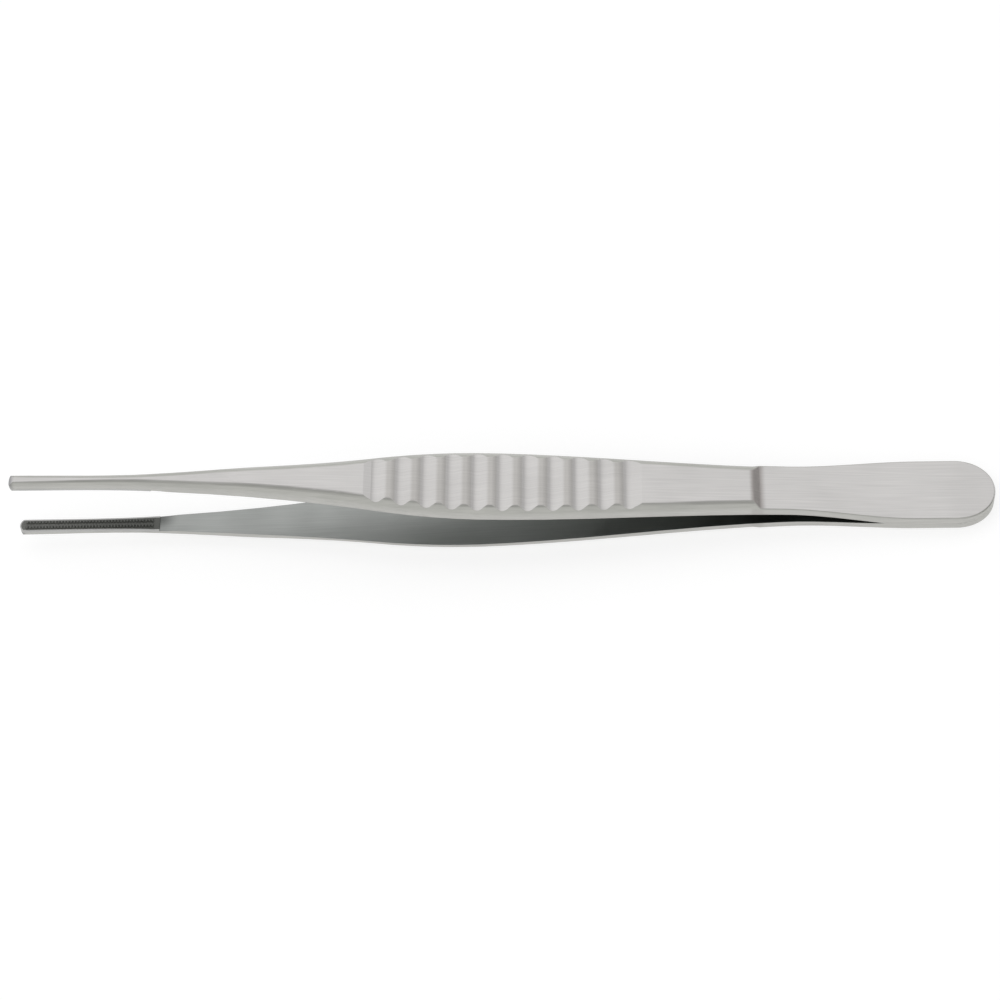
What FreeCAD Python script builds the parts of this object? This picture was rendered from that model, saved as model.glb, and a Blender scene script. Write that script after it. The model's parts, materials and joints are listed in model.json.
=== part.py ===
import FreeCAD, Part
import math
import os

from FreeCAD import Vector

# Thumb forceps of stainless steel with ribbed grips and toothed jaw inserts.
# All sizes are in millimetres. Stations are counted along the instrument from the
# jaw tips towards the butt. Heights are counted from the mid plane in which the two
# arms meet, so one arm is drawn and the other is the same arm turned over.

# Overall stations
length = 200.0
weld_front = 177.4
butt_round = 8.0

# Half widths of an arm, seen from above
tip_half_width = 1.38
jaw_heel_half_width = 1.78
flare_half_width = 6.1
grip_half_width = 7.8
waist_half_width = 5.35
butt_half_width = 7.1

# Stations and slopes of the outline, seen from above
flare_station = 74.0
grip_station = 96.0
waist_station = 158.0
butt_station = 184.0
tip_flare = 0.005
heel_flare = 0.06
grip_flare = 0.15

# Heights of the inner face above the mid plane, which give the spring of the arms.
# The fall of the grip also brings its straight outer face and the end of the butt
# into one plane.
tip_opening = 7.6
jaw_fall = 0.008
taper_station = 34.0
grip_opening = 4.65
grip_fall = 0.0516
rear_station = 147.0
rear_opening = 1.85
weld_fall = 0.11

# Thickness of an arm from its inner to its outer face
tip_thickness = 2.0
taper_thickness = 2.1
grip_thickness = 2.45
spring_thickness = 1.8
butt_thickness = 1.75

# Start of the straight outer face of the grip, which runs on to the shoulder
straight_station = 52.0

# Shoulder where the thick grip drops to the thin spring
step_station = 150.8
step_length = 1.7

# Bevel between the outer face and the side of an arm
tip_bevel = 0.72
taper_bevel = 1.2
grip_bevel = 1.8
step_bevel = 1.45
spring_bevel = 0.25
bevel_rise = 0.8
corner_share = 0.3

# Cross ribs on the grip, left standing between round grooves
groove_count = 11
groove_pitch = 5.13
first_groove = 74.6
groove_depth = 0.62
groove_radius = 2.0
crest_trim = 0.02

# Rounded nose of each arm
nose_radius = 1.7
nose_roll = 1.5
nose_crown = 0.05

# Hard insert in each jaw
insert_length = 29.0
insert_depth = 0.6
relief_length = 3.4
relief_depth = 0.22

# Fine teeth on the inserts
tooth_pitch = 0.65
tooth_height = 0.34
tooth_row_width = 0.55
tooth_row_gap = 0.69
tooth_margin = 0.9
tooth_root = 0.1
tooth_flank_share = 0.35

# Space that a cutting solid reaches past the metal
overcut = 3.0

# Distance within which a place counts as lying in a plane
plane_tolerance = 1e-6


def smooth_curve(knots):
    """Curve through knots of station, value and slope, as a function of the station."""
    def at(x):
        for (xa, va, sa), (xb, vb, sb) in zip(knots, knots[1:]):
            if x <= xb:
                break
        span = xb - xa
        t = (x - xa) / span
        value = va * (1 + 2 * t) * (1 - t) ** 2 + vb * (3 - 2 * t) * t ** 2
        value += span * t * (1 - t) * (sa * (1 - t) - sb * t)
        slope = 6 * t * (1 - t) * (vb - va) / span
        slope += sa * (1 - t) * (1 - 3 * t) + sb * t * (3 * t - 2)
        return value, slope
    at.stations = [knot[0] for knot in knots]
    return at


body_end = length - butt_round
step_end = step_station + step_length

half_width = smooth_curve([
    (0.0, tip_half_width, tip_flare),
    (insert_length, jaw_heel_half_width, heel_flare),
    (flare_station, flare_half_width, grip_flare),
    (grip_station, grip_half_width, 0.0),
    (waist_station, waist_half_width, 0.0),
    (butt_station, butt_half_width, 0.0),
    (body_end, butt_half_width, 0.0),
])

# Past the weld front the inner face runs on below the mid plane, where it is
# ground flat to meet the other arm.
inner = smooth_curve([
    (0.0, tip_opening, -jaw_fall),
    (taper_station, tip_opening - jaw_fall * taper_station, -jaw_fall),
    (grip_station, grip_opening, -grip_fall),
    (rear_station, rear_opening, -grip_fall),
    (weld_front, 0.0, -weld_fall),
    (body_end, -weld_fall * (body_end - weld_front), -weld_fall),
])


def above_inner(x, thickness):
    """Knot of the outer face that keeps a thickness over the inner face."""
    height, slope = inner(x)
    return (x, height + thickness, slope)


def on_grip(x):
    """Knot of the outer face where it runs straight along the grip."""
    drop = grip_fall * (x - grip_station)
    return (x, grip_opening + grip_thickness - drop, -grip_fall)


outer = smooth_curve([
    above_inner(0.0, tip_thickness),
    above_inner(taper_station, taper_thickness),
    on_grip(straight_station),
    on_grip(step_station),
    above_inner(step_end, spring_thickness),
    (butt_station, butt_thickness, 0.0),
    (body_end, butt_thickness, 0.0),
])

bevel = smooth_curve([
    (0.0, tip_bevel, 0.0),
    (taper_station, taper_bevel, 0.0),
    (flare_station, grip_bevel, 0.0),
    (step_station, step_bevel, 0.0),
    (step_end, spring_bevel, 0.0),
    (body_end, spring_bevel, 0.0),
])

stations = sorted(set(half_width.stations + inner.stations + outer.stations + bevel.stations))


def corner(side, inward, drop, base):
    """Place and slope, along the arm, of a corner set in from the side and the base face."""
    def point(x):
        width, width_slope = half_width(x)
        height, height_slope = base(x)
        cut, cut_slope = bevel(x)
        place = Vector(x, side * (width - inward * cut), height - drop * cut)
        slope = Vector(1, side * (width_slope - inward * cut_slope), height_slope - drop * cut_slope)
        return place, slope
    return point


def poles_along(point):
    """Poles of the long edge that follows a corner, exact at every station."""
    poles = [point(stations[0])[0]]
    for xa, xb in zip(stations, stations[1:]):
        place_a, slope_a = point(xa)
        place_b, slope_b = point(xb)
        third = (xb - xa) / 3
        poles.extend([place_a + slope_a * third, place_b - slope_b * third, place_b])
    return poles


def long_face(points):
    """Face along the arm, flat across between two corners or rounded over three."""
    counts = [4] + [3] * (len(stations) - 2) + [4]
    across = len(points)
    surface = Part.BSplineSurface()
    surface.buildFromPolesMultsKnots(
        [poles_along(point) for point in points],
        [across, across], counts, [0.0, 1.0], stations, False, False, across - 1, 3)
    return surface.toShape()


def flank_corners():
    """Set-in and drop of each corner of one side, as shares of the bevel."""
    return [
        (0, bevel_rise + corner_share),
        (0, bevel_rise),
        (corner_share, bevel_rise * (1 - corner_share)),
        (1 - corner_share, bevel_rise * corner_share),
        (1, 0),
        (1 + corner_share, 0),
    ]


def closed_solid(faces):
    """Solid inside a set of faces that meet along their edges."""
    shell = Part.makeShell(faces)
    shell.sewShape()
    solid = Part.makeSolid(shell)
    if solid.Volume < 0:
        solid.reverse()
    return solid


def flank_faces(rows, face):
    """Side, bevel and the two roundings beside it, from the corners of one side."""
    return [face(rows[0:2]), face(rows[1:4]), face(rows[3:5]), face(rows[4:7])]


def end_face(x, faces):
    """Flat end at a station, bounded by the ends of the other faces."""
    edges = []
    for face in faces:
        for edge in face.Edges:
            ends = [edge.FirstParameter, edge.LastParameter]
            places = [edge.valueAt(t) for t in (ends[0], sum(ends) / 2, ends[1])]
            if all(abs(place.x - x) < plane_tolerance for place in places):
                edges.append(edge)
    return Part.Face(Part.Wire(Part.sortEdges(edges)[0]))


def arm_body():
    """Bowed and tapered arm with bevelled sides, skinned along its corners."""
    flanks = []
    for side in (-1, 1):
        rows = [corner(side, 0, 0, inner)]
        for inward, drop in flank_corners():
            rows.append(corner(side, inward, drop, outer))
        flanks.append(rows)
    faces = [long_face([flanks[0][0], flanks[1][0]]), long_face([flanks[0][-1], flanks[1][-1]])]
    for rows in flanks:
        faces.extend(flank_faces(rows, long_face))
    ends = [end_face(x, faces) for x in (stations[0], stations[-1])]
    return closed_solid(faces + ends)


def half_ellipse(inward, height):
    """Poles of the rounded end at a height, set in from the outline."""
    reach = butt_round - inward
    width = butt_half_width - inward
    corners = [(0, -1), (1, -1), (1, 0), (1, 1), (0, 1)]
    return [Vector(body_end + reach * u, width * v, height) for u, v in corners]


def round_face(rows):
    """Face round the butt, flat across between two edges or rounded over three."""
    across = len(rows)
    diagonal = math.sqrt(0.5)
    weights = [[1.0, diagonal, 1.0, diagonal, 1.0]] * across
    surface = Part.BSplineSurface()
    surface.buildFromPolesMultsKnots(
        rows, [across, across], [3, 2, 3], [0.0, 1.0], [0.0, 1.0, 2.0],
        False, False, across - 1, 2, weights)
    return surface.toShape()


def level_face(edge):
    """Flat face between a curved edge and the straight line that joins its ends."""
    first, last = (vertex.Point for vertex in edge.Vertexes)
    return Part.Face(Part.Wire([edge, Part.makeLine(last, first)]))


def butt_end():
    """Rounded end of an arm, with the same section as the body that it carries on."""
    rows = [half_ellipse(0, 0)]
    for inward, drop in flank_corners():
        rows.append(half_ellipse(inward * spring_bevel, butt_thickness - drop * spring_bevel))
    faces = flank_faces(rows, round_face)
    for row in (rows[0], rows[-1]):
        edge = round_face([row, row]).Edges[0]
        faces.append(level_face(edge))
    return closed_solid(faces + [end_face(body_end, faces)])


def prism_across(profile, start=-grip_half_width - overcut, end=grip_half_width + overcut):
    """Solid from a closed profile in the long vertical plane, between two widths."""
    face = Part.Face(profile)
    face.translate(Vector(0, start, 0))
    return face.extrude(Vector(0, end - start, 0))


def closed_outline(places):
    """Closed outline from stations and heights."""
    corners = [Vector(x, 0, z) for x, z in places]
    return Part.makePolygon(corners + corners[:1])


def outer_point(x, depth):
    """Point at a depth under the outer face, measured square to the face."""
    height, slope = outer(x)
    normal = Vector(-slope, 0, 1).normalize()
    return Vector(x, 0, height) - normal * depth


def groove_cutter():
    """Waved solid that leaves rounded ribs between round grooves across the grip."""
    half_pitch = groove_pitch / 2
    wave = groove_depth + crest_trim
    crest_radius = (half_pitch ** 2 + wave ** 2) / (2 * wave) - groove_radius
    waves = []
    for k in range(2 * groove_count + 1):
        x = first_groove + (k - 1) * half_pitch
        in_groove = k % 2 == 1
        depth = groove_depth if in_groove else -crest_trim
        radius = groove_radius if in_groove else crest_radius
        centre = outer_point(x, depth - radius if in_groove else depth + radius)
        waves.append((outer_point(x, depth), centre, radius))
    joints = []
    for (_, centre, radius), (_, next_centre, _) in zip(waves, waves[1:]):
        joints.append(centre + (next_centre - centre).normalize() * radius)
    start, end = waves[0][0], waves[-1][0]
    edges = [Part.makeLine(start, joints[0])]
    for (middle, _, _), before, after in zip(waves[1:-1], joints, joints[1:]):
        edges.append(Part.Arc(before, middle, after).toShape())
    edges.append(Part.makeLine(joints[-1], end))
    top = Vector(0, 0, overcut)
    edges.extend(Part.makePolygon([end, end + top, start + top, start]).Edges)
    return prism_across(Part.Wire(edges))


def nose_cutter():
    """Metal outside the tip, rounded in the plan and rolled over towards the outer face."""
    floor = tip_opening - overcut
    height = tip_thickness + 2 * overcut
    block = Part.makeBox(
        nose_radius + overcut, 2 * nose_radius, height, Vector(-overcut, -nose_radius, floor))
    plan = block.cut(Part.makeCylinder(nose_radius, height, Vector(nose_radius, 0, floor)))
    centre = Vector(nose_roll, -nose_radius, outer(nose_roll)[0] - nose_roll + nose_crown)
    corner_block = Part.makeBox(
        nose_roll + overcut, 2 * nose_radius, nose_roll + overcut,
        centre - Vector(nose_roll + overcut, 0, 0))
    roll = corner_block.cut(
        Part.makeCylinder(nose_roll, 2 * nose_radius, centre, Vector(0, 1, 0)))
    return plan.fuse(roll)


def jaw_line(x, depth):
    """Station and height of a line in the arm along the jaw, at a depth under its face."""
    return (x, tip_opening - jaw_fall * x + depth)


def seat_block(depth):
    """Space along the jaw from past the tip to the heel of the insert, up to a depth."""
    return prism_across(closed_outline([
        jaw_line(-overcut, -overcut),
        jaw_line(insert_length, -overcut),
        jaw_line(insert_length, depth),
        jaw_line(-overcut, depth),
    ]))


def relief_cutter():
    """Shallow scoop in the inner face, deepest at the heel of the insert."""
    radius = (relief_length ** 2 + relief_depth ** 2) / (2 * relief_depth)
    x, z = jaw_line(insert_length, relief_depth - radius)
    reach = jaw_heel_half_width + overcut
    return Part.makeCylinder(radius, 2 * reach, Vector(x, -reach, z), Vector(0, 1, 0))


def ground_cutter():
    """Everything below the mid plane, where the joining face is ground flat."""
    reach = butt_half_width + overcut
    return Part.makeBox(
        length - rear_station, 2 * reach, 2 * reach, Vector(rear_station, -reach, -2 * reach))


def tooth_row(centre):
    """Row of fine teeth along the jaw, on a strip that is let into the insert."""
    count = int((insert_length - 2 * tooth_margin) / tooth_pitch)
    start = (insert_length - count * tooth_pitch) / 2
    places = [jaw_line(start, tooth_root)]
    for k in range(count):
        root = start + k * tooth_pitch
        places.append(jaw_line(root, 0))
        places.append(jaw_line(root + tooth_pitch * tooth_flank_share, -tooth_height))
        places.append(jaw_line(root + tooth_pitch * (1 - tooth_flank_share), -tooth_height))
    places.append(jaw_line(start + count * tooth_pitch, 0))
    places.append(jaw_line(start + count * tooth_pitch, tooth_root))
    half = tooth_row_width / 2
    return prism_across(closed_outline(places), centre - half, centre + half)


def make_arm(body):
    """Arm with its rounded butt, ribbed grip, insert seat and flat joining face."""
    arm = body.cut([groove_cutter(), seat_block(insert_depth), relief_cutter(), ground_cutter()])
    return arm.fuse(butt_end()).removeSplitter()


def make_insert(body, row_centres):
    """Hard plate that fills the jaw seat flush with the arm, with its rows of teeth."""
    plate = body.common(seat_block(insert_depth))
    rows = [tooth_row(centre) for centre in row_centres]
    return plate.fuse(rows).removeSplitter()


# The forceps lies on the straight grip of its lower arm and on the end of its butt.
rest_angle = math.degrees(math.atan(grip_fall))

body = arm_body().cut(nose_cutter())
row_offset = (tooth_row_gap + tooth_row_width) / 2
upper = {
    "upper_arm": make_arm(body),
    "upper_jaw_insert": make_insert(body, [0.0]),
}
lower = {
    "lower_arm": upper["upper_arm"].copy(),
    "lower_jaw_insert": make_insert(body, [-row_offset, row_offset]),
}
for shape in lower.values():
    shape.rotate(Vector(0, 0, 0), Vector(1, 0, 0), 180)

parts = {**upper, **lower}
for shape in parts.values():
    shape.rotate(Vector(0, 0, 0), Vector(0, 1, 0), rest_angle)
box = Part.makeCompound(list(parts.values())).optimalBoundingBox(False)
origin = Vector((box.XMin + box.XMax) / 2, 0, box.ZMin)
os.makedirs("parts", exist_ok=True)
for name, shape in parts.items():
    shape.translate(-origin)
    shape.exportStep("parts/" + name + ".step")
    print(name, shape.ShapeType, shape.isValid(), len(shape.Solids), len(shape.Faces),
          round(shape.Volume, 1))
print("rest angle", rest_angle, "box", box)
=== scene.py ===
"""Satin steel, dark jaw inserts and studio for a pair of thumb forceps."""

import json
import math

import bpy
from bpy.props import FloatProperty, FloatVectorProperty, PointerProperty
from mathutils import Matrix, Vector

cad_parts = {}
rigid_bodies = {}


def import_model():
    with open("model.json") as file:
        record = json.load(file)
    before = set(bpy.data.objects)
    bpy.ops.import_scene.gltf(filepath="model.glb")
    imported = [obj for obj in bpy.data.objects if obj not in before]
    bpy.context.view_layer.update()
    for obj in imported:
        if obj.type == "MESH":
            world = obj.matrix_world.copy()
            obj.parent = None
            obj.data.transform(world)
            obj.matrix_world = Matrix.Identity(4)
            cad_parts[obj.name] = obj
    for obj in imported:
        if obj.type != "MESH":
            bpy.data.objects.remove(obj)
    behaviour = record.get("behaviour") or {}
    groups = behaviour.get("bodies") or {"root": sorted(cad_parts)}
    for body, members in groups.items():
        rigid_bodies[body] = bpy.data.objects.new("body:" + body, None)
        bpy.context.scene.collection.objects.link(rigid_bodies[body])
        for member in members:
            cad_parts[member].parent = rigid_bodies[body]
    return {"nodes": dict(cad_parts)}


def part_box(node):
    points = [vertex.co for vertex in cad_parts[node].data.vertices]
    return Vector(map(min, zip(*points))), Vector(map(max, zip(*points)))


bl_info = {
    "name": "Thumb Forceps",
    "version": (1, 0, 0),
    "blender": (4, 5, 0),
    "location": "View3D > Sidebar > Forceps",
    "description": "Satin steel, dark jaw inserts and studio for a pair of thumb forceps",
    "category": "Material",
}

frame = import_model()
for spare in [thing for thing in bpy.data.objects if thing.name in ("Cube", "Light", "Camera")]:
    bpy.data.objects.remove(spare)
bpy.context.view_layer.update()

ARMS = ("upper_arm", "lower_arm")
INSERTS = ("upper_jaw_insert", "lower_jaw_insert")
MM = 0.001

# The forceps lies turned by a small angle. Places along it start at the tips, in the mid plane.
REST_TURN = math.radians(2.954)
TIP_TO_ORIGIN = 100.21 * MM
MID_HEIGHT = 6.89 * MM
X_AXIS, Y_AXIS, Z_AXIS = (1, 0, 0), (0, 1, 0), (0, 0, 1)

# Outline of the jaws: nose, half of the width, and the flare behind them
NOSE_RADIUS = 1.7 * MM
JAW_HALF_WIDTH = 1.385 * MM
FLARE_START = 15.1 * MM
FLARE_RATE = 0.002 / MM
INSERT_END = 29.0 * MM

# Ribs of the grip, counted by their grooves, and the part of a pitch that takes painted shade,
# where the rounded crest turns from the light
FIRST_GROOVE = 74.6 * MM
RIB_PITCH = 5.13 * MM
GROOVE_COUNT = 11
RIB_SHADE_START = (0.32, 0.5)
RIB_SHADE_END = (0.72, 0.80)

# Places along the forceps between which the painted shade on the noses and on the shoulder sets in
# or fades
NOSE_TINT_START = 0.2 * MM
SHOULDER_SHADE_START = (150.0 * MM, 151.0 * MM)
SHOULDER_SHADE_END = (152.1 * MM, 153.7 * MM)

# Places across it between which the painted shade behind each insert grows, and its share on the
# weak side
POCKET_SHADE_ACROSS = (-1.5 * MM, 1.0 * MM)
POCKET_SHADE_WEAK_SHARE = 0.3

# Slants of a face, read from its normal. The masks of inner faces and bevels grow between
# two of them, the bevels' mask falls to a share on upright sides, and the mask of level
# faces falls to none.
INNER_SLANT = (0.75, 0.93)
BEVEL_SLANT = (0.12, 0.4)
SIDE_SLANT = (0.6, 0.95)
SIDE_SHARE = 0.72
LEVEL_SLANT = (0.1, 0.35)

# Noise of the drawn grain and of the cloudy changes, and how strongly the grain shows
GRAIN_SOCKETS = (("Width", 0.3 * MM), ("Length", 14 * MM), ("Contrast", 1.0))
GRAIN_NOISE = {"Scale": 1.0, "Detail": 3.0, "Roughness": 0.55}
CLOUD_NOISE = {"Scale": 90.0, "Detail": 2.0, "Roughness": 0.5}
CLOUD_RANGE = (0.3, 0.7)
MIDDLE_GREY = 0.5
STEEL_CONTRAST = 1.8
INSERT_CONTRAST = 1.6

# Softness of the rim of an insert as a share of its width, and rays that round an edge
RIM_SOFTNESS = 0.15
EDGE_SAMPLES = 6

# Rings of the floor as shares of its radius, how far out and how high, its number of sides,
# and its distance under the forceps
FLOOR_SWEEP = ((0.5, 0.0), (0.86, 0.0), (0.93, 0.01), (0.975, 0.04), (0.995, 0.09), (1.0, 0.17))
FLOOR_SIDES = 96
FLOOR_GAP = 0.01 * MM

# Opening in the roof of the light tent: its height over the floor, and half its width at
# the core and at the rim
OPENING_HEIGHT = math.radians(84)
OPENING_CORE = math.radians(6)
OPENING_RIM = math.radians(28)


class SteelSettings(bpy.types.PropertyGroup):
    """Finish of the two arms."""

    colour: FloatVectorProperty(
        name="Steel", description="Colour of the satin steel", subtype="COLOR",
        size=3, min=0, max=1, default=(0.67, 0.655, 0.645))
    shade: FloatVectorProperty(
        name="Streaks", description="Colour of the darker streaks left by the belt",
        subtype="COLOR", size=3, min=0, max=1, default=(0.56, 0.55, 0.54))
    # Painted shade between the arms: the inner faces and their streaks are coloured darker in place
    # of the shade in the gap
    gap_shaded_colour: FloatVectorProperty(
        name="Inner faces", description="Colour of the blasted inner faces", subtype="COLOR",
        size=3, min=0, max=1, default=(0.42, 0.43, 0.42))
    gap_shaded_streaks: FloatVectorProperty(
        name="Inner streaks", description="Colour of the darker streaks on the inner faces",
        subtype="COLOR", size=3, min=0, max=1, default=(0.345, 0.358, 0.347))
    # Painted shade that darkens the sides and bevels, with a faint green cast
    side_painted_shade: FloatVectorProperty(
        name="Flank tint", description="Tint of the coarser ground sides", subtype="COLOR",
        size=3, min=0, max=1, default=(0.72, 0.735, 0.70))
    # Painted shade on the side of each rib that turns from the light
    rib_painted_shade: FloatVectorProperty(
        name="Rub tint", description="Tint of the ribs where fingers rub them", subtype="COLOR",
        size=3, min=0, max=1, default=(0.83, 0.825, 0.81))
    # Painted shade on the shoulder step and on the spring just behind it
    shoulder_painted_shade: FloatVectorProperty(
        name="Shoulder tint", description="Tint of the shoulder that the belt doesn't reach",
        subtype="COLOR", size=3, min=0, max=1, default=(0.6, 0.575, 0.565))
    # Painted shade on the rounded noses, which roll away from the light; the nose length gives how
    # far it reaches
    nose_painted_shade: FloatVectorProperty(
        name="Nose tint", description="Tint of the rolled noses, burnished by use",
        subtype="COLOR", size=3, min=0, max=1, default=(0.5, 0.505, 0.53))
    nose_length: FloatProperty(
        name="Nose length", description="How far the noses are burnished", subtype="DISTANCE",
        unit="LENGTH", default=1.5 * MM)
    # Painted shade that deepens between the arms towards the butt as the gap narrows; start and end
    # give where it sets in and where it is full
    gap_painted_shade: FloatVectorProperty(
        name="Heat tint", description="Tint that the weld's heat left between the arms",
        subtype="COLOR", size=3, min=0, max=1, default=(0.3, 0.32, 0.295))
    gap_shade_start: FloatProperty(
        name="Heat start", description="Place along the arms where the heat tint starts",
        subtype="DISTANCE", unit="LENGTH", default=82 * MM)
    gap_shade_end: FloatProperty(
        name="Heat end", description="Place along the arms where the heat tint is full",
        subtype="DISTANCE", unit="LENGTH", default=158 * MM)
    # Painted shade behind each insert, where its pocket runs out into the inner face; the length
    # gives how far it reaches
    pocket_painted_shade: FloatVectorProperty(
        name="Stain tint", description="Tint of the solder stain behind each insert",
        subtype="COLOR", size=3, min=0, max=1, default=(0.42, 0.425, 0.42))
    pocket_shade_length: FloatProperty(
        name="Stain length", description="How far the stain reaches behind an insert",
        subtype="DISTANCE", unit="LENGTH", default=4.5 * MM)
    roughness: FloatProperty(
        name="Roughness", description="Roughness of the satin finish", subtype="FACTOR",
        min=0, max=1, default=0.3)
    roughness_range: FloatProperty(
        name="Roughness range", description="How far the roughness wanders over the surface",
        subtype="FACTOR", min=0, max=1, default=0.12)
    inner_roughness: FloatProperty(
        name="Inner roughness", description="How much rougher the blasted inner faces are",
        subtype="FACTOR", min=0, max=1, default=0.06)
    grain: FloatProperty(
        name="Grain", description="Width of the belt marks across the arm", subtype="DISTANCE",
        unit="LENGTH", default=0.3 * MM)
    grain_length: FloatProperty(
        name="Grain length", description="Length of the belt marks along the arm",
        subtype="DISTANCE", unit="LENGTH", default=14 * MM)
    grain_depth: FloatProperty(
        name="Grain depth", description="Depth of the belt marks", subtype="DISTANCE",
        unit="LENGTH", default=0.006 * MM)
    edge: FloatProperty(
        name="Broken edge", description="Radius to which every sharp edge is broken",
        subtype="DISTANCE", unit="LENGTH", default=0.12 * MM)


class InsertSettings(bpy.types.PropertyGroup):
    """Finish of the two jaw inserts."""

    colour: FloatVectorProperty(
        name="Hard metal", description="Colour of the dark hard metal", subtype="COLOR",
        size=3, min=0, max=1, default=(0.12, 0.123, 0.112))
    tip_colour: FloatVectorProperty(
        name="Worn tip", description="Colour of the hard metal worn by use at the tip",
        subtype="COLOR", size=3, min=0, max=1, default=(0.21, 0.213, 0.2))
    shade: FloatVectorProperty(
        name="Pores", description="Colour of the pores between the grains", subtype="COLOR",
        size=3, min=0, max=1, default=(0.085, 0.087, 0.08))
    rim_colour: FloatVectorProperty(
        name="Rim", description="Colour of the edges ground bright with the jaw",
        subtype="COLOR", size=3, min=0, max=1, default=(0.5, 0.5, 0.49))
    rim: FloatProperty(
        name="Rim width", description="Width of the bright ground edges", subtype="DISTANCE",
        unit="LENGTH", default=0.27 * MM)
    metallic: FloatProperty(
        name="Metallic", description="How far the dark surface shines as bare metal",
        subtype="FACTOR", min=0, max=1, default=0.35)
    roughness: FloatProperty(
        name="Roughness", description="Roughness of the ground hard metal", subtype="FACTOR",
        min=0, max=1, default=0.44)
    roughness_range: FloatProperty(
        name="Roughness range", description="How far the roughness wanders over the surface",
        subtype="FACTOR", min=0, max=1, default=0.12)
    grain: FloatProperty(
        name="Grain", description="Width of the sintered grains", subtype="DISTANCE",
        unit="LENGTH", default=0.1 * MM)
    grain_length: FloatProperty(
        name="Grain length", description="Length of the grinding marks along the jaw",
        subtype="DISTANCE", unit="LENGTH", default=0.6 * MM)
    grain_depth: FloatProperty(
        name="Grain depth", description="Depth of the pores", subtype="DISTANCE",
        unit="LENGTH", default=0.004 * MM)


class StudioSettings(bpy.types.PropertyGroup):
    """Floor, light and camera."""

    floor_radius: FloatProperty(
        name="Floor", description="Radius of the round floor", subtype="DISTANCE",
        unit="LENGTH", default=3.0)
    floor_shade: FloatProperty(
        name="Floor shade", description="Lightness of the floor's paper", subtype="FACTOR",
        min=0, max=1, default=0.38)
    floor_glow: FloatProperty(
        name="Floor glow", description="Light that lifts the seen floor to white",
        subtype="FACTOR", min=0, soft_max=2, default=0.7)
    tent: FloatProperty(
        name="Tent", description="Brightness of the light tent", subtype="FACTOR",
        min=0, soft_max=2, default=1.03)
    side_fall: FloatProperty(
        name="Side fall", description="How much darker the tent gets on the butt's side",
        subtype="FACTOR", min=0, soft_max=2, default=0.8)
    opening: FloatProperty(
        name="Opening", description="How much darker the tent is in the opening of its roof",
        subtype="FACTOR", min=0, soft_max=2, default=0.55)
    azimuth: FloatProperty(
        name="Azimuth", description="Turn of the camera to the butt's side", subtype="ANGLE",
        unit="ROTATION", default=math.radians(7.804))
    elevation: FloatProperty(
        name="Elevation", description="Height of the camera over the floor", subtype="ANGLE",
        unit="ROTATION", default=math.radians(56.547))
    roll: FloatProperty(
        name="Roll", description="Turn of the camera about its line of sight", subtype="ANGLE",
        unit="ROTATION", default=math.radians(-8.826))
    distance: FloatProperty(
        name="Distance", description="Distance from the camera to the forceps", subtype="DISTANCE",
        unit="LENGTH", default=0.6999)
    field: FloatProperty(
        name="Field", description="Width that fills the picture at that distance",
        subtype="DISTANCE", unit="LENGTH", default=0.20343)
    aim: FloatVectorProperty(
        name="Aim", description="Point at the middle of the picture, from the origin",
        subtype="TRANSLATION", unit="LENGTH", size=3, default=(-0.0002, -0.00102, 0.00835))


class ForcepsSettings(bpy.types.PropertyGroup):
    """All sizes and colours of the forceps."""

    steel: PointerProperty(type=SteelSettings, name="Steel", description="Finish of the arms")
    insert: PointerProperty(
        type=InsertSettings, name="Insert", description="Finish of the inserts")
    studio: PointerProperty(
        type=StudioSettings, name="Studio", description="Floor, light and camera")


def add_node(tree, kind, **values):
    """New node of a kind; values sets its own attributes by name."""
    node = tree.nodes.new(kind)
    for name, value in values.items():
        setattr(node, name, value)
    return node


def set_inputs(node, **values):
    """Set sockets by name, written with _ for each space."""
    for name, value in values.items():
        node.inputs[name.replace("_", " ")].default_value = value


def feed(tree, socket, value):
    """Give a socket a link, or a plain number or colour."""
    if isinstance(value, bpy.types.NodeSocket):
        tree.links.new(value, socket)
    else:
        socket.default_value = value


def calculate(tree, operation, *values):
    """Result of a Math node on sockets or numbers."""
    node = add_node(tree, "ShaderNodeMath", operation=operation)
    for socket, value in zip(node.inputs, values):
        feed(tree, socket, value)
    return node.outputs[0]


def product(tree, first, *others):
    """Product of sockets or numbers."""
    for other in others:
        first = calculate(tree, "MULTIPLY", first, other)
    return first


def measure(tree, vector, direction):
    """Length of a vector socket along a direction."""
    node = add_node(tree, "ShaderNodeVectorMath", operation="DOT_PRODUCT")
    tree.links.new(vector, node.inputs[0])
    node.inputs[1].default_value = direction
    return node.outputs["Value"]


def ramp(tree, value, start, stop, low=0.0, high=1.0):
    """Smooth step from low to high while a value goes from start to stop."""
    step = add_node(tree, "ShaderNodeMapRange", interpolation_type="SMOOTHSTEP")
    set_inputs(step, From_Min=start, From_Max=stop, To_Min=low, To_Max=high)
    tree.links.new(value, step.inputs["Value"])
    return step.outputs[0]


def mix_colours(tree, factor, low, high, blend="MIX"):
    """Mix of two colours, plain or from sockets, by a factor socket."""
    mix = add_node(tree, "ShaderNodeMix", data_type="RGBA", blend_type=blend)
    sockets = [socket for socket in mix.inputs if socket.type == "RGBA"]
    for socket, colour in zip(sockets, (low, high)):
        feed(tree, socket, colour if isinstance(colour, bpy.types.NodeSocket) else (*colour, 1))
    tree.links.new(factor, mix.inputs["Factor"])
    return next(socket for socket in mix.outputs if socket.type == "RGBA")


def tint(tree, mask, colour, shade):
    """Colour socket multiplied by a shade where a mask is 1."""
    return mix_colours(tree, mask, colour, shade, "MULTIPLY")


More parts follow.
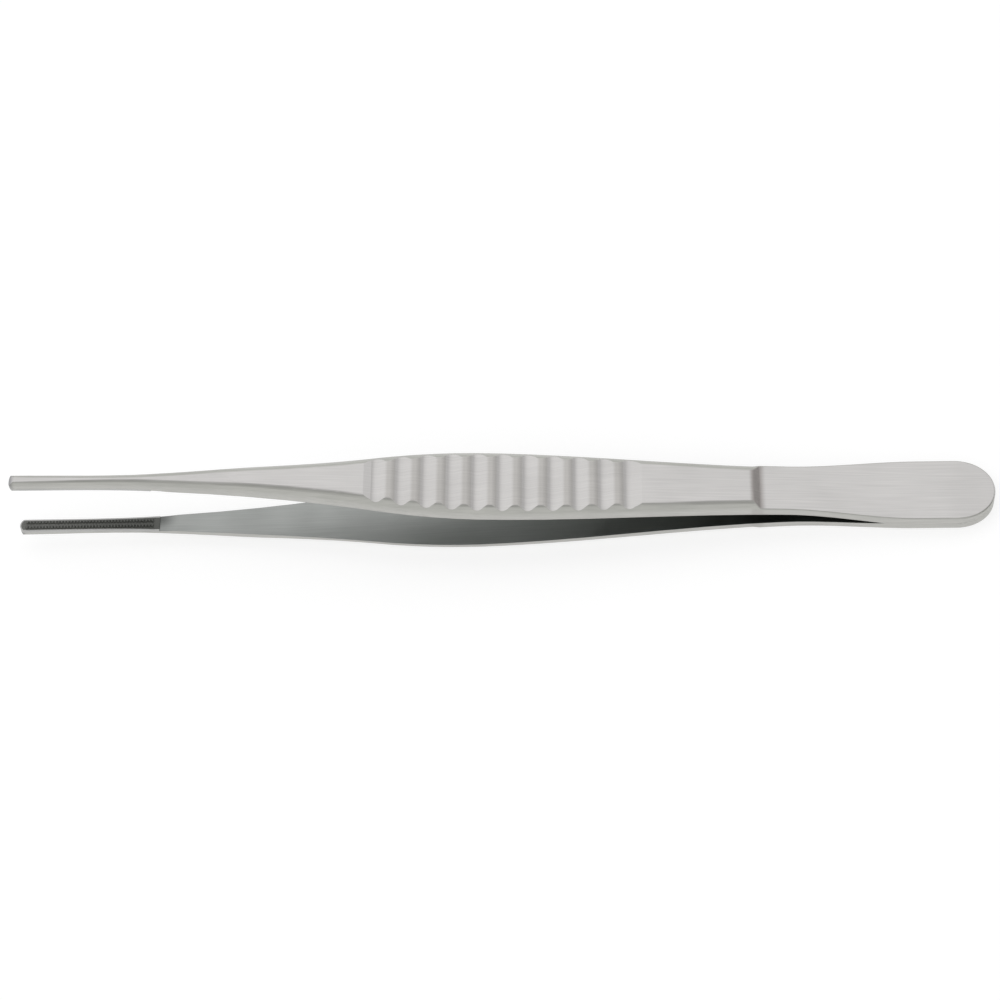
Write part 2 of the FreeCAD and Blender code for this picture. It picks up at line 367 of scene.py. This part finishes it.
def new_group(name, inputs, outputs):
    """Empty shader node group of float sockets, with its input and output nodes."""
    tree = bpy.data.node_groups.new(name, "ShaderNodeTree")
    for label, value in inputs:
        socket = tree.interface.new_socket(
            name=label, in_out="INPUT", socket_type="NodeSocketFloat")
        socket.default_value = value
    for label in outputs:
        tree.interface.new_socket(name=label, in_out="OUTPUT", socket_type="NodeSocketFloat")
    return tree, tree.nodes.new("NodeGroupInput"), tree.nodes.new("NodeGroupOutput")


def grain_group():
    """Grain drawn out along the instrument, and slow cloudy changes over it."""
    name = "drawn grain"
    if name in bpy.data.node_groups:
        return bpy.data.node_groups[name]
    tree, source, result = new_group(name, GRAIN_SOCKETS, ("Grain", "Cloud", "Height"))
    links = tree.links
    place = add_node(tree, "ShaderNodeTexCoord")
    along, across, above = (measure(tree, place.outputs["Object"], axis)
                            for axis in (X_AXIS, Y_AXIS, Z_AXIS))
    sideways = calculate(tree, "ABSOLUTE", measure(tree, place.outputs["Normal"], Y_AXIS))
    scaled = add_node(tree, "ShaderNodeCombineXYZ")
    for axis, value, size in (("X", along, "Length"), ("Y", across, "Width"),
                              ("Z", product(tree, above, sideways), "Width")):
        links.new(calculate(tree, "DIVIDE", value, source.outputs[size]), scaled.inputs[axis])
    fine = add_node(tree, "ShaderNodeTexNoise")
    set_inputs(fine, **GRAIN_NOISE)
    links.new(scaled.outputs[0], fine.inputs["Vector"])
    cloud = add_node(tree, "ShaderNodeTexNoise")
    set_inputs(cloud, **CLOUD_NOISE)
    links.new(place.outputs["Object"], cloud.inputs["Vector"])
    centred = calculate(tree, "SUBTRACT", fine.outputs[0], MIDDLE_GREY)
    spread = calculate(tree, "MULTIPLY_ADD", centred, source.outputs["Contrast"], MIDDLE_GREY)
    spread.node.use_clamp = True
    links.new(spread, result.inputs["Grain"])
    links.new(cloud.outputs[0], result.inputs["Cloud"])
    links.new(fine.outputs[0], result.inputs["Height"])
    return tree


def place_group():
    """Place along and across the forceps, and masks of inner faces, sides and level faces."""
    name = "place on the forceps"
    if name in bpy.data.node_groups:
        return bpy.data.node_groups[name]
    tree, _, result = new_group(name, (), ("Along", "Across", "Inner", "Flank", "Level"))
    links = tree.links
    place = add_node(tree, "ShaderNodeTexCoord")
    length = (math.cos(REST_TURN), 0, -math.sin(REST_TURN))
    height = (math.sin(REST_TURN), 0, math.cos(REST_TURN))
    along = calculate(tree, "ADD", measure(tree, place.outputs["Object"], length), TIP_TO_ORIGIN)
    above = calculate(tree, "SUBTRACT", measure(tree, place.outputs["Object"], height), MID_HEIGHT)
    arm = calculate(tree, "SIGN", above)
    inward = product(tree, measure(tree, place.outputs["Normal"], height), arm, -1.0)
    sideways = calculate(tree, "ABSOLUTE", measure(tree, place.outputs["Normal"], Y_AXIS))
    links.new(along, result.inputs["Along"])
    links.new(measure(tree, place.outputs["Object"], Y_AXIS), result.inputs["Across"])
    links.new(ramp(tree, inward, *INNER_SLANT), result.inputs["Inner"])
    bevel = ramp(tree, sideways, *BEVEL_SLANT)
    side = ramp(tree, sideways, *SIDE_SLANT, 1.0, SIDE_SHARE)
    links.new(product(tree, bevel, side), result.inputs["Flank"])
    links.new(ramp(tree, sideways, *LEVEL_SLANT, 1.0, 0.0), result.inputs["Level"])
    return tree


def new_material(name):
    """Material with a Principled shader, its tree and that shader."""
    material = bpy.data.materials.new(name)
    material.use_nodes = True
    tree = material.node_tree
    return material, tree, tree.nodes["Principled BSDF"]


def add_groups(tree, settings, contrast):
    """Grain group at the size of the settings, and the sockets of the place group."""
    grain = add_node(tree, "ShaderNodeGroup", node_tree=grain_group())
    set_inputs(grain, Width=settings.grain, Length=settings.grain_length, Contrast=contrast)
    return grain.outputs, add_node(tree, "ShaderNodeGroup", node_tree=place_group()).outputs


def cloudy_roughness(tree, grain, settings):
    """Roughness that wanders with the cloudy changes over the surface."""
    return ramp(tree, grain["Cloud"], *CLOUD_RANGE, settings.roughness,
                settings.roughness + settings.roughness_range)


def grain_bump(tree, grain, settings, shader):
    """Bump node that presses the grain into the surface of a shader."""
    bump = add_node(tree, "ShaderNodeBump")
    set_inputs(bump, Strength=1.0, Distance=settings.grain_depth)
    tree.links.new(grain["Height"], bump.inputs["Height"])
    tree.links.new(bump.outputs[0], shader.inputs["Normal"])
    return bump


def rib_shade_mask(tree, along):
    """Mask of the part of each rib that takes painted shade, where its rounded crest turns from the
    light.
    """
    count = calculate(tree, "DIVIDE", calculate(tree, "SUBTRACT", along, FIRST_GROOVE), RIB_PITCH)
    part = calculate(tree, "FRACT", count)
    return product(
        tree, ramp(tree, part, *RIB_SHADE_START), ramp(tree, part, *RIB_SHADE_END, 1.0, 0.0),
        calculate(tree, "GREATER_THAN", count, 0.0),
        calculate(tree, "LESS_THAN", count, GROOVE_COUNT - 1.0))


def shoulder_shade_mask(tree, along):
    """Mask of the painted shade on the shoulder step and of the painted shade that fades from it
    over the spring.
    """
    return product(tree, ramp(tree, along, *SHOULDER_SHADE_START),
                   ramp(tree, along, *SHOULDER_SHADE_END, 1.0, 0.0))


def satin_steel(settings):
    """Satin steel with belt marks along the arms, softened edges and rougher inner faces, with
    painted shade on the sides, the ribs, the shoulder, the noses, between the arms and behind the
    inserts.
    """
    material, tree, shader = new_material("satin_steel_finish")
    grain, place = add_groups(tree, settings, STEEL_CONTRAST)

    outside = mix_colours(tree, grain["Grain"], settings.shade, settings.colour)
    # Painted shade on the sides and bevels
    outside = tint(tree, place["Flank"], outside, settings.side_painted_shade)
    # Painted shade on the side of each rib that turns from the light
    rib_shade = product(tree, rib_shade_mask(tree, place["Along"]), place["Level"])
    outside = tint(tree, rib_shade, outside, settings.rib_painted_shade)
    # Painted shade on the shoulder step and on the spring just behind it
    shoulder = product(tree, shoulder_shade_mask(tree, place["Along"]),
                       calculate(tree, "SUBTRACT", 1.0, place["Flank"]))
    outside = tint(tree, shoulder, outside, settings.shoulder_painted_shade)
    # Painted shade on the rounded noses
    nose = ramp(tree, place["Along"], NOSE_TINT_START, settings.nose_length, 1.0, 0.0)
    outside = tint(tree, nose, outside, settings.nose_painted_shade)

    # Inner faces carry painted shade between the arms: a darker colour, deepening towards the butt,
    # and darker behind each insert
    inside = mix_colours(tree, grain["Grain"], settings.gap_shaded_streaks, settings.gap_shaded_colour)
    # Painted shade that deepens between the arms towards the butt
    gap_shade = ramp(tree, place["Along"], settings.gap_shade_start, settings.gap_shade_end)
    inside = tint(tree, gap_shade, inside, settings.gap_painted_shade)
    # Painted shade behind each insert, stronger on one side
    behind = ramp(tree, place["Along"], INSERT_END, INSERT_END + settings.pocket_shade_length, 1.0, 0.0)
    pocket_shaded = ramp(tree, place["Across"], *POCKET_SHADE_ACROSS, POCKET_SHADE_WEAK_SHARE, 1.0)
    inside = tint(tree, product(tree, behind, pocket_shaded), inside, settings.pocket_painted_shade)
    colour = mix_colours(tree, place["Inner"], outside, inside)
    tree.links.new(colour, shader.inputs["Base Color"])

    rougher = product(tree, place["Inner"], settings.inner_roughness)
    rough = calculate(tree, "ADD", cloudy_roughness(tree, grain, settings), rougher)
    tree.links.new(rough, shader.inputs["Roughness"])

    bump = grain_bump(tree, grain, settings, shader)
    edge = add_node(tree, "ShaderNodeBevel", samples=EDGE_SAMPLES)
    set_inputs(edge, Radius=settings.edge)
    tree.links.new(edge.outputs[0], bump.inputs["Normal"])
    set_inputs(shader, Metallic=1.0)
    return material


def rim_mask(tree, place, width):
    """Mask of the edges of an insert that are ground bright with the jaw."""
    past = calculate(tree, "SUBTRACT", place["Along"], FLARE_START)
    past = calculate(tree, "MAXIMUM", past, 0.0)
    half = calculate(tree, "ADD", product(tree, past, past, FLARE_RATE), JAW_HALF_WIDTH)
    side_reach = calculate(tree, "SUBTRACT", half, calculate(tree, "ABSOLUTE", place["Across"]))
    ahead = calculate(tree, "SUBTRACT", place["Along"], NOSE_RADIUS)
    ahead = calculate(tree, "MINIMUM", ahead, 0.0)
    squares = calculate(tree, "ADD", product(tree, ahead, ahead),
                        product(tree, place["Across"], place["Across"]))
    nose_reach = calculate(tree, "SUBTRACT", NOSE_RADIUS, calculate(tree, "SQRT", squares))
    reach = calculate(tree, "MINIMUM", side_reach, nose_reach)
    return ramp(tree, reach, (1 - RIM_SOFTNESS) * width, (1 + RIM_SOFTNESS) * width, 1.0, 0.0)


def dark_hard_metal(settings):
    """Dark sintered hard metal, worn lighter at the tip, with bright ground edges."""
    material, tree, shader = new_material("dark_hard_metal_finish")
    grain, place = add_groups(tree, settings, INSERT_CONTRAST)
    wear = ramp(tree, place["Along"], 0.0, INSERT_END, 1.0, 0.0)
    metal = mix_colours(tree, wear, settings.colour, settings.tip_colour)
    dark = mix_colours(tree, grain["Grain"], settings.shade, metal)
    rim = rim_mask(tree, place, settings.rim)
    colour = mix_colours(tree, rim, dark, settings.rim_colour)
    tree.links.new(colour, shader.inputs["Base Color"])
    shine = ramp(tree, rim, 0.0, 1.0, settings.metallic, 1.0)
    tree.links.new(shine, shader.inputs["Metallic"])
    rough = cloudy_roughness(tree, grain, settings)
    tree.links.new(rough, shader.inputs["Roughness"])
    grain_bump(tree, grain, settings, shader)
    return material


def dress(names, material):
    """Give solid parts their finish."""
    for name in names:
        for slot in frame["nodes"][name].material_slots:
            slot.material = material


class FORCEPS_OT_finish_arms(bpy.types.Operator):
    """Finish both arms in satin steel"""

    bl_idname = "forceps.finish_arms"
    bl_label = "Finish Arms"

    def execute(self, context):
        dress(ARMS, satin_steel(context.scene.forceps.steel))
        return {"FINISHED"}


class FORCEPS_OT_finish_inserts(bpy.types.Operator):
    """Finish both jaw inserts in dark hard metal"""

    bl_idname = "forceps.finish_inserts"
    bl_label = "Finish Inserts"

    def execute(self, context):
        dress(INSERTS, dark_hard_metal(context.scene.forceps.insert))
        return {"FINISHED"}


def floor_paper(settings):
    """White paper that glows a little where it is seen or mirrored, and still takes the shadow."""
    material = bpy.data.materials.new("floor_paper")
    material.use_nodes = True
    tree = material.node_tree
    tree.nodes.clear()
    paper = add_node(tree, "ShaderNodeBsdfDiffuse")
    paper.inputs["Color"].default_value = (*[settings.floor_shade] * 3, 1)
    path = add_node(tree, "ShaderNodeLightPath").outputs
    seen = calculate(tree, "MAXIMUM", path["Is Camera Ray"], path["Is Glossy Ray"])
    seen = calculate(tree, "MAXIMUM", seen, path["Is Transmission Ray"])
    glow = add_node(tree, "ShaderNodeEmission")
    tree.links.new(product(tree, seen, settings.floor_glow), glow.inputs["Strength"])
    both = add_node(tree, "ShaderNodeAddShader")
    tree.links.new(paper.outputs[0], both.inputs[0])
    tree.links.new(glow.outputs[0], both.inputs[1])
    output = add_node(tree, "ShaderNodeOutputMaterial")
    tree.links.new(both.outputs[0], output.inputs["Surface"])
    return material


def light_tent(settings):
    """World as a light tent, darker on the butt's side and in the opening of its roof."""
    world = bpy.data.worlds.new("light_tent")
    world.use_nodes = True
    tree = world.node_tree
    tree.nodes.clear()
    way = add_node(tree, "ShaderNodeTexCoord").outputs["Generated"]
    beside = calculate(tree, "MAXIMUM", measure(tree, way, X_AXIS), 0.0)
    fall = product(tree, beside, beside, settings.side_fall)
    overhead = measure(tree, way, (0, -math.cos(OPENING_HEIGHT), math.sin(OPENING_HEIGHT)))
    hole = ramp(tree, overhead, math.cos(OPENING_RIM), math.cos(OPENING_CORE),
                0.0, settings.opening)
    tent = calculate(tree, "SUBTRACT", calculate(tree, "SUBTRACT", settings.tent, fall), hole)
    light = add_node(tree, "ShaderNodeBackground")
    light.inputs["Color"].default_value = (1, 1, 1, 1)
    tree.links.new(tent, light.inputs["Strength"])
    output = add_node(tree, "ShaderNodeOutputWorld")
    tree.links.new(light.outputs[0], output.inputs["Surface"])
    return world


def add_floor(settings):
    """Round floor under the forceps, swept up at its edge into a low wall."""
    level = min(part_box(name)[0][2] for name in ARMS) - FLOOR_GAP
    corners, faces = [(0, 0, level)], []
    for reach, rise in FLOOR_SWEEP:
        start = len(corners)
        for step in range(FLOOR_SIDES):
            angle = step * math.tau / FLOOR_SIDES
            corners.append((reach * settings.floor_radius * math.cos(angle),
                            reach * settings.floor_radius * math.sin(angle),
                            level + rise * settings.floor_radius))
            ahead = (step + 1) % FLOOR_SIDES
            inner = start - FLOOR_SIDES
            if start == 1:
                faces.append((0, start + step, start + ahead))
            else:
                faces.append((inner + step, start + step, start + ahead, inner + ahead))
    mesh = bpy.data.meshes.new("floor")
    mesh.from_pydata(corners, [], faces)
    mesh.shade_smooth()
    mesh.materials.append(floor_paper(settings))
    floor = bpy.data.objects.new("floor", mesh)
    bpy.context.collection.objects.link(floor)


def add_camera(settings):
    """Camera at the picture's viewing angle."""
    azimuth, elevation = settings.azimuth, settings.elevation
    back = Vector((math.sin(azimuth) * math.cos(elevation),
                   -math.cos(azimuth) * math.cos(elevation), math.sin(elevation)))
    level = Vector((math.cos(azimuth), math.sin(azimuth), 0))
    right = Matrix.Rotation(settings.roll, 3, back) @ level
    up = back.cross(right)
    data = bpy.data.cameras.new("camera")
    data.lens = data.sensor_width * settings.distance / settings.field
    camera = bpy.data.objects.new("camera", data)
    turn = Matrix((right, up, back)).transposed().to_4x4()
    camera.matrix_world = Matrix.Translation(Vector(settings.aim) + back * settings.distance) @ turn
    bpy.context.collection.objects.link(camera)
    bpy.context.scene.camera = camera


class FORCEPS_OT_set_stage(bpy.types.Operator):
    """Set the floor, the light tent and the camera"""

    bl_idname = "forceps.set_stage"
    bl_label = "Set Stage"

    def execute(self, context):
        settings = context.scene.forceps.studio
        add_floor(settings)
        context.scene.world = light_tent(settings)
        add_camera(settings)
        context.scene.view_settings.view_transform = "Standard"
        return {"FINISHED"}


class FORCEPS_PT_panel(bpy.types.Panel):
    """Sidebar panel with the steps and the settings"""

    bl_idname = "FORCEPS_PT_panel"
    bl_label = "Thumb Forceps"
    bl_space_type = "VIEW_3D"
    bl_region_type = "UI"
    bl_category = "Forceps"

    def draw(self, context):
        settings = context.scene.forceps
        for operator in OPERATORS:
            self.layout.operator(operator.bl_idname)
        for group in (settings.steel, settings.insert, settings.studio):
            box = self.layout.box()
            for name in group.__annotations__:
                box.prop(group, name)


OPERATORS = (FORCEPS_OT_finish_arms, FORCEPS_OT_finish_inserts, FORCEPS_OT_set_stage)
CLASSES = (SteelSettings, InsertSettings, StudioSettings, ForcepsSettings, *OPERATORS,
           FORCEPS_PT_panel)


def register():
    """Register the classes and the scene's settings."""
    for cls in CLASSES:
        bpy.utils.register_class(cls)
    bpy.types.Scene.forceps = PointerProperty(type=ForcepsSettings)


def unregister():
    """Take the settings and the classes away again."""
    del bpy.types.Scene.forceps
    for cls in reversed(CLASSES):
        bpy.utils.unregister_class(cls)


def main():
    """Dress the forceps and set the stage."""
    register()
    bpy.ops.forceps.finish_arms()
    bpy.ops.forceps.finish_inserts()
    bpy.ops.forceps.set_stage()


if __name__ == "__main__":
    main()
